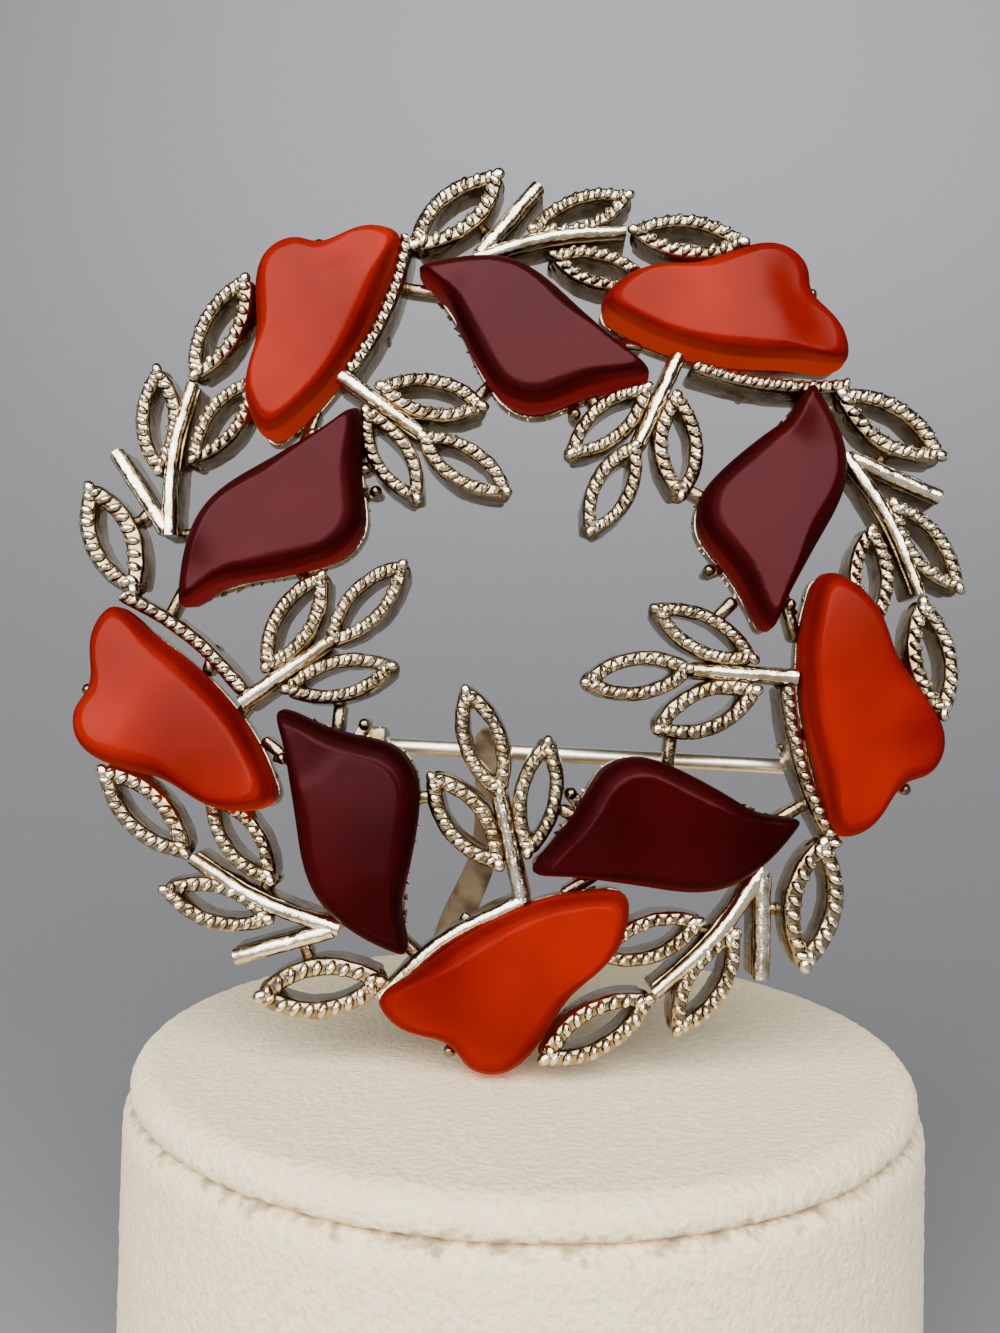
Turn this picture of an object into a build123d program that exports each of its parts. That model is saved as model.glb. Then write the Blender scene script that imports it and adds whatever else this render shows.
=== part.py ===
"""A wreath brooch of cast openwork leaves and moulded stones, propped on a small round display stand.

The wreath is one casting of five like units. It leans back a little on the stand's padded top,
and a tapered strip rises behind it, between the casting and the pin stem.
"""
import os
from collections import namedtuple
from math import atan2, cos, hypot, radians, sin, sqrt, tan

from build123d import *

# Wreath, in millimetres and degrees
wreath_radius = 29.0
dish_angle = 7.0
outward_angle = 103.0
level_ring = 17.0

# Casting
rim_height = 3.0
rim_band = 0.8
leaf_height = 2.5
leaf_wall = 0.9
web_inset = 0.12
stem_width = 1.05
stem_height = 2.4
stem_drop = 0.15
vine_wall = 0.8
strut_width = 1.0
strut_height = 1.2
prong_radius = 0.42
prong_stalk_radius = 0.33
prong_drop = 1.6

# Stones and their trays
stone_height = 3.0
tray_thickness = 0.8
tray_inset = 0.25
seat_gap = 0.06

# Pin stem, hinge and catch, behind the wreath
wire_radius = 0.53
pin_length = 31.0
pin_point = 3.0
pin_point_middle = 0.37
pin_depth = 5.2
pin_slope = -4.3
eye_radius = 0.95
eye_width = 1.0
rivet_radius = 0.4
rivet_head_radius = 0.6
rivet_head = 0.2
rivet_play = 0.05
hinge_play = 0.08
ear_radius = 0.8
ear_thickness = 0.4
hinge_plate_length = 1.7
hinge_plate = 0.8
catch_distance = 29.3
catch_length = 1.8
catch_wall = 0.45
catch_lip = 0.5
catch_play = 0.18

# Stand
pad_radius = 25.1
pad_height = 2.0
pad_top_round = 1.4
pad_foot_round = 0.55
base_radius = 25.45
base_height = 19.0
base_top_round = 1.2
base_foot_round = 0.8
joint_gap = 0.05

# Prop strip
strip_thickness = 0.6
strip_tilt = 16.7
strip_gap = 0.12
strip_slot_depth = 1.5
strip_head_back = 2.85
strip_head_round = 0.5

# How the brooch sits on the stand
lean_back = 5.1
roll = 2.45
side_shift = -1.0
front_shift = 8.4
rest_gap = 0.33

# Table values are hundredths of the wreath's radius, in the frame of one unit:
# x runs along the wreath and y outwards, both measured from the wreath's centre.
Leaf = namedtuple("Leaf", "name base_x base_y tip_x tip_y width")
OUTER_LEAVES = [
    Leaf("vine_leaf", -22.3, 80.0, -0.5, 99.5, 12.6),
    Leaf("upper_leaf", 3.9, 83.4, 28.7, 92.0, 10.5),
    Leaf("end_leaf", 25.9, 83.0, 53.3, 78.0, 11.0),
    Leaf("lower_leaf", 8.2, 77.7, 31.3, 69.3, 9.9),
]
INNER_LEAVES = [
    Leaf("near_leaf", -30.4, 47.7, -5.6, 40.4, 11.0),
    Leaf("far_leaf", -33.0, 43.2, -21.3, 19.4, 10.0),
]
INNER_END_LEAF = Leaf("inner_end_leaf", -21.7, 36.1, -0.5, 22.3, 10.3)

Strip = namedtuple("Strip", "name start_x start_y end_x end_y bow")
OUTER_STEMS = [
    Strip("outer_stem", -7.6, 77.2, 25.9, 82.6, 1.9),
    Strip("cut_stub", -6.6, 78.3, 6.9, 94.5, 0.0),
]
INNER_STEMS = [
    Strip("inner_stem", -37.2, 50.3, -20.6, 35.8, 0.0),
]
VINE = Strip("vine", -22.6, 84.0, -35.5, 51.0, 2.3)
OUTER_STRUTS = [
    Strip("vine_strut", -34.0, 62.0, -27.0, 62.0, 0.0),
    Strip("tip_strut", -26.0, 74.5, -15.5, 72.5, 0.0),
    Strip("end_leaf_link", -59.5, 71.5, -51.0, 71.5, 0.0),
    Strip("lower_leaf_link", -58.5, 51.5, -51.0, 51.5, 0.0),
    Strip("stub_link", -6.0, 87.5, -1.0, 85.0, 0.0),
    Strip("stem_root", -7.0, 79.5, -3.5, 70.0, 0.0),
    Strip("lower_leaf_root", 10.5, 81.5, 9.5, 76.5, 0.0),
]
INNER_STRUTS = [
    Strip("stone_strut", -43.5, 45.5, -48.0, 34.0, 0.0),
    Strip("stem_strut", -42.0, 53.0, -34.5, 49.5, 0.0),
    Strip("near_leaf_link", -10.5, 43.8, -4.3, 50.0, 0.0),
    Strip("far_leaf_link", -32.0, 31.2, -38.5, 30.2, 0.0),
]
Prong = namedtuple("Prong", "x y root_x root_y")
ORANGE_PRONGS = [
    Prong(-45.5, 38.6, -45.5, 41.5),
    Prong(-42.8, 84.9, -42.8, 79.0),
]
WINE_PRONGS = [
    Prong(12.4, 39.6, 12.0, 46.0),
]

Point = namedtuple("Point", "x y")
ORANGE_OUTLINE = [
    Point(-57.0, 39.8), Point(-53.9, 37.0), Point(-48.2, 40.0), Point(-40.4, 47.6),
    Point(-34.7, 55.9), Point(-30.3, 65.0), Point(-26.4, 75.2), Point(-24.3, 83.5),
    Point(-27.6, 85.4), Point(-34.5, 85.0), Point(-42.8, 83.0), Point(-46.8, 84.2),
    Point(-50.8, 83.4), Point(-54.2, 80.5), Point(-56.4, 74.1), Point(-56.5, 60.0),
]
WINE_OUTLINE = [
    Point(-20.4, 74.8), Point(-13.5, 76.1), Point(-6.4, 76.0), Point(1.2, 74.0),
    Point(7.1, 69.9), Point(13.4, 63.1), Point(19.3, 56.5), Point(26.0, 49.9),
    Point(28.7, 46.8), Point(22.4, 44.6), Point(15.3, 42.9), Point(10.3, 41.0),
    Point(5.4, 39.5), Point(1.2, 39.8), Point(-3.1, 42.2), Point(-6.4, 46.6),
    Point(-9.6, 53.0), Point(-13.0, 61.7), Point(-17.6, 70.0),
]
ORANGE_MIDDLE = Point(-43.4, 67.0)
WINE_MIDDLE = Point(3.0, 58.0)

# Heights and edge roundings are shares of the stone's height
Section = namedtuple("Section", "height inset")
STONE_SECTIONS = [
    Section(0.0, 0.1),
    Section(0.38, 0.0),
    Section(0.72, 0.03),
    Section(0.92, 0.17),
    Section(1.0, 0.36),
]

# Each branch and each stone was set by hand, so it is a little off the regular place:
# turn in degrees, across and out in hundredths of the wreath's radius
Seat = namedtuple("Seat", "turn across out")
Unit = namedtuple("Unit", "outer inner orange wine end_leaf_turn")
UNITS = [
    Unit(Seat(0.3, 0.2, 0.3), Seat(2.1, 1.1, 0.4), Seat(2.5, 0.8, 0.1), Seat(0.2, 1.0, 1.6), -6.0),
    Unit(Seat(-2.9, 1.1, 0.6), Seat(-2.6, -1.9, 0.3), Seat(2.5, -1.5, 2.8), Seat(-2.4, -4.2, 2.5), -11.0),
    Unit(Seat(1.3, 0.8, -0.6), Seat(0.4, 0.8, -0.9), Seat(-1.5, 0.3, -1.7), Seat(2.0, 2.5, 0.2), 3.0),
    Unit(Seat(0.5, -1.5, 0.7), Seat(-1.7, 0.0, 0.7), Seat(0.5, 0.6, 1.6), Seat(1.3, -2.0, 0.9), -2.0),
    Unit(Seat(0.7, -0.5, -1.0), Seat(1.9, -0.1, -0.5), Seat(1.1, -1.4, -0.3), Seat(3.2, 0.1, -3.9), 4.0),
]
OUTER_MIDDLE = Point(4.0, 82.0)
INNER_MIDDLE = Point(-22.0, 38.0)

# Where the pin's hinge is on the wreath's face, and the units that carry the hinge and the catch
HINGE_AT = Point(-31.5, -29.4)
HINGE_UNIT = 3
CATCH_UNIT = 2

# Prop strip, seen from the front: places are hundredths of the wreath's radius from its centre.
# The strip passes between the casting and the wire at its upper end.
StripStation = namedtuple("StripStation", "x height width")
PROP_STATIONS = [
    StripStation(-6.0, -29.5, 4.4),
    StripStation(-5.9, -38.6, 4.6),
    StripStation(-6.6, -58.0, 6.3),
    StripStation(-10.3, -67.5, 7.3),
    StripStation(-15.5, -83.0, 8.0),
    StripStation(-18.5, -97.0, 8.4),
]

share = wreath_radius / 100
unit_step = 360 / len(UNITS)
stand_height = base_height + joint_gap + pad_height
tray_top = tray_thickness - rim_height


def at(point):
    """A table point in millimetres."""
    return point.x * share, point.y * share


def unit_place(unit, seat, middle):
    """Where a thing drawn in one unit's frame goes on the wreath's face."""
    x, y = at(middle)
    ring = Location((0, 0, 0), (0, 0, -unit_step * unit))
    lift = Location((0, 0, level_ring * tan(radians(dish_angle))))
    lean = Location((0, 0, 0), (0, 0, outward_angle - 90)) * Location((0, 0, 0), (-dish_angle, 0, 0))
    back = Location((0, 0, 0), (0, 0, 90 - outward_angle))
    own = Location((x + seat.across * share, y + seat.out * share, 0), (0, 0, seat.turn))
    return ring * lift * lean * back * own * Location((-x, -y, 0))


def tray_level(unit, x, y):
    """Height on the wreath's face of the middle of a unit's trays, above a point of the face."""
    outward = radians(outward_angle - unit_step * unit)
    reach = x * cos(outward) + y * sin(outward)
    return (level_ring - reach) * tan(radians(dish_angle)) + tray_top - tray_thickness / 2


def inset_outline(outline, middle, inset):
    """The outline with every point moved in by the same length, towards the stone's middle."""
    middle_x, middle_y = at(middle)
    moved = []
    for point in outline:
        x, y = at(point)
        reach = hypot(x - middle_x, y - middle_y)
        left = (reach - inset) / reach
        moved.append((middle_x + (x - middle_x) * left, middle_y + (y - middle_y) * left))
    return moved


def outline_face(outline, middle, inset):
    """A stone's outline as a filled sketch."""
    with BuildSketch() as shape:
        with BuildLine():
            Spline(*inset_outline(outline, middle, inset), periodic=True)
        make_face()
    return shape.sketch


def leaf_face(leaf, inset):
    """A leaf's pointed oval as a filled sketch: two equal arcs, moved in by the inset."""
    base_x, base_y = leaf.base_x * share, leaf.base_y * share
    tip_x, tip_y = leaf.tip_x * share, leaf.tip_y * share
    length = hypot(tip_x - base_x, tip_y - base_y)
    along_x, along_y = (tip_x - base_x) / length, (tip_y - base_y) / length
    half_width = leaf.width * share / 2
    radius = (length**2 / 4 + half_width**2) / (2 * half_width)
    half_length = sqrt((radius - inset) ** 2 - (radius - half_width) ** 2)
    half_width = half_width - inset
    middle_x, middle_y = (base_x + tip_x) / 2, (base_y + tip_y) / 2
    start = (middle_x - along_x * half_length, middle_y - along_y * half_length)
    end = (middle_x + along_x * half_length, middle_y + along_y * half_length)
    left = (middle_x - along_y * half_width, middle_y + along_x * half_width)
    right = (middle_x + along_y * half_width, middle_y - along_x * half_width)
    with BuildSketch() as shape:
        with BuildLine():
            ThreePointArc(start, left, end)
            ThreePointArc(end, right, start)
        make_face()
    return shape.sketch


def strip_face(strip, width):
    """A straight or bowed strip of even width as a filled sketch."""
    start_x, start_y = strip.start_x * share, strip.start_y * share
    end_x, end_y = strip.end_x * share, strip.end_y * share
    length = hypot(end_x - start_x, end_y - start_y)
    heading = atan2(end_y - start_y, end_x - start_x)
    bow = strip.bow * share
    swing = 2 * atan2(2 * bow, length)
    middle_x = (start_x + end_x) / 2 - sin(heading) * bow
    middle_y = (start_y + end_y) / 2 + cos(heading) * bow
    stations = [
        (start_x, start_y, heading + swing),
        (middle_x, middle_y, heading),
        (end_x, end_y, heading - swing),
    ]
    left = [(x - sin(a) * width / 2, y + cos(a) * width / 2) for x, y, a in stations]
    right = [(x + sin(a) * width / 2, y - cos(a) * width / 2) for x, y, a in stations]
    with BuildSketch() as shape:
        with BuildLine():
            if bow:
                ThreePointArc(*left)
                ThreePointArc(*right)
            else:
                Line(left[0], left[2])
                Line(right[0], right[2])
            Line(left[2], right[2])
            Line(right[0], left[0])
        make_face()
    return shape.sketch


def build_leaf(leaf):
    """One openwork leaf in the unit's own frame: a raised rim band on a thinner wall."""
    with BuildPart() as blade:
        with BuildSketch(Plane.XY.offset(-rim_band)):
            add(leaf_face(leaf, 0))
            add(leaf_face(leaf, leaf_wall), mode=Mode.SUBTRACT)
        extrude(amount=rim_band)
        with BuildSketch(Plane.XY.offset(-leaf_height)):
            add(leaf_face(leaf, web_inset))
            add(leaf_face(leaf, leaf_wall - web_inset), mode=Mode.SUBTRACT)
        extrude(amount=leaf_height - rim_band)
    return blade.part


def build_bar(strip, width, bottom, height):
    """One stem, vine or strut in the unit's own frame."""
    with BuildPart() as bar:
        with BuildSketch(Plane.XY.offset(bottom)):
            add(strip_face(strip, width))
        extrude(amount=height)
    return bar.part


def build_prong(prong):
    """One small ball-ended post beside a stone, with its root towards the tray."""
    x, y = at(prong)
    root = Strip("root", prong.x, prong.y, prong.root_x, prong.root_y, 0)
    bottom_up = (Align.CENTER, Align.CENTER, Align.MIN)
    with BuildPart() as post:
        with BuildSketch(Plane.XY.offset(-rim_height)):
            add(strip_face(root, 2 * prong_radius))
        extrude(amount=tray_thickness)
        with Locations((x, y, -rim_height)):
            Cylinder(prong_stalk_radius, rim_height - prong_drop, align=bottom_up)
        with Locations((x, y, -prong_drop)):
            Sphere(prong_radius)
    return post.part


def build_tray(outline, middle, prongs):
    """The tray plate under one stone with the posts beside it, in the unit's own frame."""
    posts = [build_prong(prong) for prong in prongs]
    with BuildPart() as tray:
        with BuildSketch(Plane.XY.offset(-rim_height)):
            add(outline_face(outline, middle, tray_inset))
        extrude(amount=tray_thickness)
        for post in posts:
            add(post)
    return tray.part


def build_pocket(outline, middle):
    """The room that a stone and its seat gap take, in the unit's own frame."""
    with BuildPart() as pocket:
        with BuildSketch(Plane.XY.offset(tray_top)):
            add(outline_face(outline, middle, -seat_gap))
        extrude(amount=stone_height + rim_height)
    return pocket.part


def build_stone(outline, middle):
    """A moulded stone with soft edges, in the unit's own frame."""
    with BuildPart() as stone:
        for section in STONE_SECTIONS:
            with BuildSketch(Plane.XY.offset(tray_top + seat_gap + section.height * stone_height)):
                add(outline_face(outline, middle, section.inset * stone_height))
        loft(ruled=True)
    return stone.part


def build_branch(leaves, stems, struts):
    """One unit's outer or inner branch, in the unit's own frame, with the rims' tops at height 0."""
    pieces = [build_leaf(leaf) for leaf in leaves]
    pieces += [build_bar(stem, stem_width, -stem_drop - stem_height, stem_height) for stem in stems]
    pieces += [build_bar(strut, strut_width, -rim_height, strut_height) for strut in struts]
    with BuildPart() as branch:
        for piece in pieces:
            add(piece)
    return branch.part


outer_branch = build_branch(OUTER_LEAVES, OUTER_STEMS, OUTER_STRUTS)
inner_branch = build_branch(INNER_LEAVES, INNER_STEMS, INNER_STRUTS)
vine = build_bar(VINE, vine_wall, -rim_height, rim_height)
inner_end_leaf = build_leaf(INNER_END_LEAF)
orange_tray = build_tray(ORANGE_OUTLINE, ORANGE_MIDDLE, ORANGE_PRONGS)
wine_tray = build_tray(WINE_OUTLINE, WINE_MIDDLE, WINE_PRONGS)
orange_pocket = build_pocket(ORANGE_OUTLINE, ORANGE_MIDDLE)
wine_pocket = build_pocket(WINE_OUTLINE, WINE_MIDDLE)
orange_stone = build_stone(ORANGE_OUTLINE, ORANGE_MIDDLE)
wine_stone = build_stone(WINE_OUTLINE, WINE_MIDDLE)


def face_plane(height):
    """The wreath's face: its origin is the wreath's centre, and it looks forwards and a little up."""
    lean, turn = radians(lean_back), radians(roll)
    return Plane(
        origin=(side_shift, -front_shift, height),
        x_dir=(cos(turn), sin(turn) * sin(lean), sin(turn) * cos(lean)),
        z_dir=(0, -cos(lean), sin(lean)),
    )


def lowest_reach():
    """How far the wreath's lowest point lies below its centre."""
    centre = face_plane(0).location
    lowest = 0
    for number, unit in enumerate(UNITS):
        places = [
            (unit_place(number, unit.orange, ORANGE_MIDDLE), [at(point) for point in ORANGE_OUTLINE]),
            (unit_place(number, unit.wine, WINE_MIDDLE), [at(point) for point in WINE_OUTLINE]),
            (unit_place(number, unit.outer, OUTER_MIDDLE),
             [(leaf.tip_x * share, leaf.tip_y * share) for leaf in OUTER_LEAVES]),
        ]
        for place, points in places:
            for x, y in points:
                for height in (-rim_height, 0):
                    lowest = min(lowest, (centre * place * Location((x, y, height))).position.Z)
    return lowest


face = face_plane(stand_height + rest_gap - lowest_reach())

leaf_root = at(Point(INNER_END_LEAF.base_x, INNER_END_LEAF.base_y))
outer_places = []
inner_places = []
end_leaf_places = []
orange_places = []
wine_places = []
for number, unit in enumerate(UNITS):
    outer_places.append(face.location * unit_place(number, unit.outer, OUTER_MIDDLE))
    inner_place = face.location * unit_place(number, unit.inner, INNER_MIDDLE)
    inner_places.append(inner_place)
    leaf_turn = Location((*leaf_root, 0), (0, 0, unit.end_leaf_turn))
    end_leaf_places.append(inner_place * leaf_turn * Location((-leaf_root[0], -leaf_root[1], 0)))
    orange_places.append(face.location * unit_place(number, unit.orange, ORANGE_MIDDLE))
    wine_places.append(face.location * unit_place(number, unit.wine, WINE_MIDDLE))

# The pin's own frame: x along the wire, y along the rivet, z forwards through the wreath
hinge_x, hinge_y = at(HINGE_AT)
pin_seat = face.location * Location((hinge_x, hinge_y, -pin_depth), (0, 0, pin_slope))
pin_plane = Plane(pin_seat)
catch_x = hinge_x + cos(radians(pin_slope)) * catch_distance
catch_y = hinge_y + sin(radians(pin_slope)) * catch_distance
hinge_rise = pin_depth + tray_level(HINGE_UNIT, hinge_x, hinge_y)
catch_rise = pin_depth + tray_level(CATCH_UNIT, catch_x, catch_y)
ear_inside = eye_width / 2 + hinge_play
ear_outside = ear_inside + ear_thickness
rivet_end = ear_outside + rivet_head
catch_inside = wire_radius + catch_play
catch_outside = catch_inside + catch_wall
across_pin = Plane(origin=pin_plane.origin, x_dir=pin_plane.x_dir, z_dir=pin_plane.y_dir)

# Casting: five units with their trays, cut clear of the stones, and the pin's hinge and catch
with BuildPart() as frame:
    with Locations(*outer_places):
        add(outer_branch)
        add(vine)
    with Locations(*inner_places):
        add(inner_branch)
    with Locations(*end_leaf_places):
        add(inner_end_leaf)
    with Locations(*orange_places):
        add(orange_tray)
    with Locations(*wine_places):
        add(wine_tray)
    with Locations(*orange_places):
        add(orange_pocket, mode=Mode.SUBTRACT)
    with Locations(*wine_places):
        add(wine_pocket, mode=Mode.SUBTRACT)
    with BuildSketch(pin_plane.offset(hinge_rise - hinge_plate)):
        Rectangle(hinge_plate_length, 2 * ear_outside)
    extrude(amount=hinge_plate)
    with BuildSketch(across_pin.offset(-ear_outside)) as ears:
        with Locations((0, -hinge_rise / 2)):
            Rectangle(2 * ear_radius, hinge_rise)
        Circle(ear_radius)
    extrude(amount=ear_thickness)
    with BuildSketch(across_pin.offset(ear_inside)):
        add(ears.sketch_local)
    extrude(amount=ear_thickness)
    with BuildSketch(across_pin):
        Circle(rivet_radius)
    extrude(amount=rivet_end, both=True)
    with BuildSketch(across_pin.offset(-rivet_end), across_pin.offset(ear_outside)):
        Circle(rivet_head_radius)
    extrude(amount=rivet_head)
    with BuildSketch(pin_plane.offset(-wire_radius - catch_lip)):
        with Locations((catch_distance, 0)):
            Rectangle(catch_length, 2 * catch_outside)
            Rectangle(catch_length, 2 * catch_inside, mode=Mode.SUBTRACT)
    extrude(amount=wire_radius + catch_lip + catch_rise)
    with BuildSketch(pin_plane.offset(catch_inside)):
        with Locations((catch_distance, 0)):
            Rectangle(catch_length, 2 * catch_outside)
    extrude(amount=catch_rise - catch_inside)
frame.part.label = "frame"

# Pin stem, closed: an eye on the rivet, a round wire and a point
with BuildPart() as pin_stem:
    with BuildSketch(across_pin.offset(-eye_width / 2)):
        Circle(eye_radius)
    extrude(amount=eye_width)
    with BuildSketch(Plane(pin_seat * Location((eye_radius / 2, 0, 0), (0, 90, 0)))):
        Circle(wire_radius)
    extrude(amount=pin_length - pin_point - eye_radius / 2)
    with BuildSketch(Plane(pin_seat)):
        with BuildLine():
            Line((pin_length - pin_point, 0), (pin_length, 0))
            Line((pin_length - pin_point, 0), (pin_length - pin_point, wire_radius))
            ThreePointArc(
                (pin_length - pin_point, wire_radius),
                (pin_length - pin_point / 2, pin_point_middle),
                (pin_length, 0),
            )
        make_face()
    revolve(axis=Axis(pin_plane.origin, pin_plane.x_dir))
    with BuildSketch(across_pin):
        Circle(rivet_radius + rivet_play)
    extrude(amount=eye_width, both=True, mode=Mode.SUBTRACT)
pin_stem.part.label = "pin_stem"

# Stones, in the order of the units: clockwise from the top, seen from the front
stones = []
for number, place in enumerate(orange_places):
    with BuildPart() as orange_leaf:
        with Locations(place):
            add(orange_stone)
    orange_leaf.part.label = f"orange_leaf_{number + 1}"
    stones.append(orange_leaf.part)
for number, place in enumerate(wine_places):
    with BuildPart() as wine_leaf:
        with Locations(place):
            add(wine_stone)
    wine_leaf.part.label = f"wine_leaf_{number + 1}"
    stones.append(wine_leaf.part)

# Stand: a drum and a padded disc on it, both with soft edges that leave a groove between them
with BuildPart() as stand_base:
    Cylinder(base_radius, base_height, align=(Align.CENTER, Align.CENTER, Align.MIN))
    fillet(stand_base.edges().group_by(Axis.Z)[-1], base_top_round)
    fillet(stand_base.edges().group_by(Axis.Z)[0], base_foot_round)
stand_base.part.label = "stand_base"

head_x = side_shift + PROP_STATIONS[0].x * share
head_y = -front_shift + strip_head_back
head_z = face.origin.Z + PROP_STATIONS[0].height * share
strip_plane = Plane(
    origin=(head_x, head_y, head_z),
    x_dir=(1, 0, 0),
    z_dir=(0, -cos(radians(strip_tilt)), -sin(radians(strip_tilt))),
)
foot_level = stand_height - strip_slot_depth - head_z


def strip_outline(extra, foot):
    """The prop strip's outline, wider by the same amount on each side, down to a level of the foot."""
    stretch = 1 / cos(radians(strip_tilt))
    rows = []
    for station in PROP_STATIONS:
        x = (station.x - PROP_STATIONS[0].x) * share
        y = (station.height - PROP_STATIONS[0].height) * share * stretch
        rows.append((x, y, station.width * share / 2 + extra))
    slide = (rows[-1][0] - rows[-2][0]) / (rows[-1][1] - rows[-2][1])
    foot_x = rows[-1][0] + (foot * stretch - rows[-1][1]) * slide
    rows[-1] = (foot_x, foot * stretch, rows[-1][2])
    top_x, top_y, top_half = rows[0]
    top_middle = (top_x, top_y + strip_head_round + extra)
    with BuildSketch() as outline:
        with BuildLine():
            Spline(*[(x - half, y) for x, y, half in rows])
            Spline(*[(x + half, y) for x, y, half in rows])
            ThreePointArc((top_x - top_half, top_y), top_middle, (top_x + top_half, top_y))
            Line((foot_x - rows[-1][2], foot * stretch), (foot_x + rows[-1][2], foot * stretch))
        make_face()
    return outline.sketch


prop_outline = strip_outline(0, foot_level)
slot_outline = strip_outline(strip_gap, foot_level - strip_gap)

with BuildPart() as prop_strip:
    with BuildSketch(strip_plane):
        add(prop_outline)
    extrude(amount=strip_thickness / 2, both=True)
prop_strip.part.label = "prop_strip"

with BuildPart() as stand_pad:
    with Locations((0, 0, base_height + joint_gap)):
        Cylinder(pad_radius, pad_height, align=(Align.CENTER, Align.CENTER, Align.MIN))
    fillet(stand_pad.edges().group_by(Axis.Z)[-1], pad_top_round)
    fillet(stand_pad.edges().group_by(Axis.Z)[0], pad_foot_round)
    with BuildSketch(strip_plane):
        add(slot_outline)
    extrude(amount=strip_thickness / 2 + strip_gap, both=True, mode=Mode.SUBTRACT)
stand_pad.part.label = "stand_pad"

os.makedirs("parts", exist_ok=True)
for piece in [frame.part, pin_stem.part, stand_base.part, stand_pad.part, prop_strip.part, *stones]:
    export_step(piece, f"parts/{piece.label}.step")
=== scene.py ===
"""The looks of a wreath brooch on its display stand: rope-edged leaves in pale gilt metal,
moulded orange and wine stones, the pin behind them, the flocked stand and its prop strip."""

import random
from collections import namedtuple
from math import asin, atan2, cos, hypot, pi, radians, sin, sqrt, tan

import bpy
from mathutils import Matrix, Vector


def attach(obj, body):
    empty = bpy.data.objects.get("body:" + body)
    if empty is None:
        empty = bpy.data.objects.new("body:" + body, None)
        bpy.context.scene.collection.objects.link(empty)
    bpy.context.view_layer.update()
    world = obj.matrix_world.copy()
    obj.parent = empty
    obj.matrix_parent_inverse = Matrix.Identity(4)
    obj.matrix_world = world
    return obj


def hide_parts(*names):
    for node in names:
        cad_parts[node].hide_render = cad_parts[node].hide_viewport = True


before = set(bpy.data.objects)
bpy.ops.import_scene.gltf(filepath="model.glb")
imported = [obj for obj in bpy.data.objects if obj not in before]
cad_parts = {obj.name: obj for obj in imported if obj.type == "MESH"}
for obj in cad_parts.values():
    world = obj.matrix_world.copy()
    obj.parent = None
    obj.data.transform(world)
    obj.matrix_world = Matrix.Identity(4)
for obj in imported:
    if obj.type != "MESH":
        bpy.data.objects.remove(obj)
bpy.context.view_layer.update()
dice = random.Random(7)

# Sizes are in millimetres, angles in degrees, and places on the wreath in hundredths of its radius
MM = 0.001
WREATH_RADIUS = 29.0
SHARE = WREATH_RADIUS / 100
DISH_ANGLE = 7.0
OUTWARD_ANGLE = 103.0
LEVEL_RING = 17.0
UNIT_COUNT = 5
RIM_HEIGHT = 3.0
LEAN_BACK = 5.1
ROLL = 2.45
SIDE_SHIFT = -1.0
FRONT_SHIFT = 8.4
FACE_HEIGHT = 49.783

# Finish of the meshes
MERGE_DISTANCE = 0.002
EDGE_ANGLE = 35
SMALL_EDGE = 0.1
CAST_GRAIN = 0.9
CAST_RELIEF = 0.16

# Leaves, their ropes, stems and struts
LEAF_HEIGHT = 2.5
LEAF_POINT_INSET = 0.5
LEAF_POINT_LEVEL = -0.45
LEAF_POINT_SIZES = (0.42, 0.34, 0.32)
LEAF_WEB_INSET = 1.0
LEAF_WEB_LEVEL = -1.35
LEAF_WEB_SIZES = (0.72, 0.7, 0.85)
BAND_WIDTH = 0.9
BAND_TOP = -0.36
BAND_ROUND = 0.34
BEAD_LONG = 0.43
BEAD_SHORT = 0.27
BEAD_HIGH = 0.42
BEAD_SLANT = 58.0
BEAD_PITCH = 0.72
BEAD_INSET = 0.03
STEM_WIDTH = 1.05
STEM_TOP = -0.05
STEM_RADIUS = 0.52
STEM_WALL_TOP = -0.75
STEM_WALL_LIFT = 0.4
STEM_EDGE = 0.2
OUTER_STEM_END = 0.75
INNER_STEM_END = 0.8
STUB_END = 1.0
SMOOTH_VINE_UNIT = 3
SMOOTH_VINE_WIDTH = 0.6 * BAND_WIDTH
SMOOTH_VINE_RADIUS = 0.9 * STEM_RADIUS
STRUT_WIDTH = 0.8
STRUT_HEIGHT = 1.2
STRUT_ROUND = 0.32

# Prongs, trays and the teeth at the trays' edges
PRONG_RADIUS = 0.39
PRONG_STALK = 0.3
PRONG_DROP = 1.6
PRONG_FOOT_EDGE = 0.12
TRAY_THICKNESS = 0.8
TRAY_INSET = 0.3
TRAY_EDGE = 0.1
TOOTH_RADIUS = 0.3
TOOTH_TIP_RADIUS = 0.05
TOOTH_LENGTH = 0.5
TOOTH_FLATNESS = 0.8
TOOTH_PITCH = 0.85
TOOTH_PLACES = (0.1, 0.9)
TOOTH_LENGTHS = (0.6, 1.1)
TOOTH_INSET = 0.25
TOOTH_LEVEL = -2.5
ORANGE_TOOTH_LIMIT = -50.0
WINE_TOOTH_LIMIT = 30.0

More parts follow.
